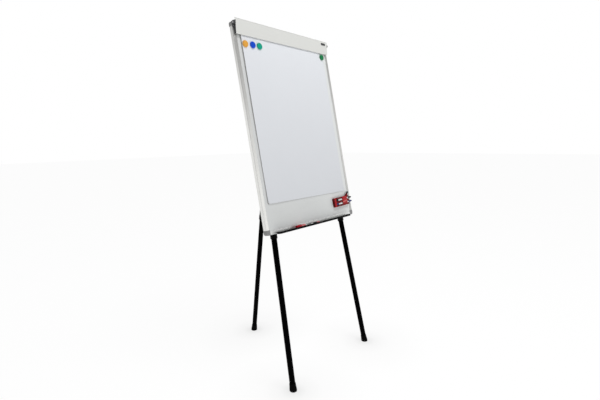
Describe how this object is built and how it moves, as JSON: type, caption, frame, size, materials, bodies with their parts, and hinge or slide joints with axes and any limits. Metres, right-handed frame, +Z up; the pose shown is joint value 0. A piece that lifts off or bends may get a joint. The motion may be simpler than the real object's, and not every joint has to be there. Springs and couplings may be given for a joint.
{
  "type": "flipchart easel",
  "caption": "Tripod flipchart easel: framed white board leaning back on telescopic black legs, with a hinged paper clamp, paper pad, pen tray, marker holder and magnets.",
  "frame": {"origin": "on the floor, at the middle of the footprint between the front feet and the rear foot, on the easel's centre line", "axes": "+X to the right of a person facing the board, +Y away from that person towards the rear leg, +Z up"},
  "size_m": [0.7008, 0.6445, 1.7287],
  "materials": {
    "board_white": "satin white lacquer on steel",
    "core_board": "pressed fibre",
    "zinc_sheet": "grey coated steel",
    "frame_aluminium": "satin anodised",
    "corner_grey": "fine moulded grain",
    "black_plastic": "fine moulded grain",
    "screw_steel": "zinc plated",
    "rail_aluminium": "mill finish",
    "tray_black": "fine moulded grain",
    "tube_black": "satin powder coat",
    "grey_nylon": "moulded nylon",
    "bracket_black": "satin powder coat",
    "paper_white": "uncoated paper",
    "grey_card": "grey board",
    "binding_tape": "bound head strip",
    "magnet_orange": "gloss",
    "magnet_blue": "gloss",
    "magnet_teal": "gloss",
    "magnet_green": "gloss",
    "caddy_red": "gloss",
    "magnet_sheet": "matt magnetic sheet",
    "marker_black": "satin",
    "marker_blue": "satin",
    "marker_red": "satin",
    "clamp_grey": "satin warm grey coat",
    "grip_rubber": "soft strip",
    "collar_black": "fluted moulding",
    "foot_rubber": "matt rubber"
  },
  "bodies": {
    "board": {"face_sheet": "board_white", "panel_core": "core_board", "back_sheet": "zinc_sheet", "frame_left": "frame_aluminium", "frame_right": "frame_aluminium", "frame_top": "frame_aluminium", "frame_bottom": "frame_aluminium", "corner_caps": "corner_grey", "clamp_pivot_left": "black_plastic", "clamp_pivot_right": "black_plastic", "small_screws": "screw_steel", "clamp_pins": "screw_steel", "hook_rail": "rail_aluminium", "pen_tray": "tray_black", "tray_screws": "screw_steel", "upper_tube_left": "tube_black", "upper_tube_right": "tube_black", "tube_caps": "black_plastic", "leg_saddles": "black_plastic", "saddle_screws": "screw_steel", "front_collets": "grey_nylon", "rear_bracket": "bracket_black", "bracket_screws": "screw_steel", "hinge_bolt": "screw_steel", "pad_sheets": "paper_white", "pad_backing": "grey_card", "pad_binding": "binding_tape", "magnet_orange": "magnet_orange", "magnet_blue": "magnet_blue", "magnet_teal": "magnet_teal", "magnet_green": "magnet_green", "caddy_shell": "caddy_red", "caddy_magnet": "magnet_sheet", "marker_black": "marker_black", "marker_blue": "marker_blue", "marker_short": "marker_black", "tray_marker_red": "marker_red", "tray_marker_black": "marker_black"},
    "clamp": {"clamp_bar": "clamp_grey", "clamp_grip": "grip_rubber", "clamp_end_left": "black_plastic", "clamp_end_right": "black_plastic", "clamp_springs": "screw_steel"},
    "hook_left": {"hook_left": "black_plastic"},
    "hook_right": {"hook_right": "black_plastic"},
    "rear_leg": {"rear_tube": "tube_black", "rear_head": "black_plastic", "rear_collet": "grey_nylon"},
    "collar_left": {"collar_left": "collar_black"},
    "collar_right": {"collar_right": "collar_black"},
    "collar_rear": {"collar_rear": "collar_black"},
    "lower_leg_left": {"lower_tube_left": "tube_black", "plug_left": "grey_nylon", "foot_left": "foot_rubber"},
    "lower_leg_right": {"lower_tube_right": "tube_black", "plug_right": "grey_nylon", "foot_right": "foot_rubber"},
    "lower_leg_rear": {"lower_tube_rear": "tube_black", "plug_rear": "grey_nylon", "foot_rear": "foot_rubber"}
  },
  "joints": [
    {"name": "clamp_lift", "type": "hinge", "parent": "board", "child": "clamp", "pos_m": [0, -0.01335, 1.70593], "axis": [-1, 0, 0], "range_deg": [0, 48]},
    {"name": "hook_left_slide", "type": "slide", "parent": "board", "child": "hook_left", "axis": [1, 0, 0], "range_m": [-0.02, 0.02]},
    {"name": "hook_right_slide", "type": "slide", "parent": "board", "child": "hook_right", "axis": [1, 0, 0], "range_m": [-0.02, 0.02]},
    {"name": "rear_leg_fold", "type": "hinge", "parent": "board", "child": "rear_leg", "pos_m": [0, 0.06848, 1.68157], "axis": [-1, 0, 0], "range_deg": [0, 19.19]},
    {"name": "left_leg_telescope", "type": "slide", "parent": "board", "child": "lower_leg_left", "axis": [0.0523, 0.194, 0.9796], "range_m": [-0.08, 0.6], "stiffness_N_per_m": 30000},
    {"name": "right_leg_telescope", "type": "slide", "parent": "board", "child": "lower_leg_right", "axis": [-0.0523, 0.194, 0.9796], "range_m": [-0.08, 0.6], "stiffness_N_per_m": 30000},
    {"name": "rear_leg_telescope", "type": "slide", "parent": "rear_leg", "child": "lower_leg_rear", "axis": [0, -0.139, 0.9903], "range_m": [-0.08, 0.6], "stiffness_N_per_m": 30000},
    {"name": "left_collar_twist", "type": "hinge", "parent": "board", "child": "collar_left", "pos_m": [-0.27308, -0.16276, 0.71708], "axis": [0.0523, 0.194, 0.9796], "range_deg": [0, 90]},
    {"name": "right_collar_twist", "type": "hinge", "parent": "board", "child": "collar_right", "pos_m": [0.27308, -0.16276, 0.71708], "axis": [-0.0523, 0.194, 0.9796], "range_deg": [0, 90]},
    {"name": "rear_collar_twist", "type": "hinge", "parent": "rear_leg", "child": "collar_rear", "pos_m": [0, 0.2028, 0.72489], "axis": [0, -0.139, 0.9903], "range_deg": [0, 90]}
  ]
}
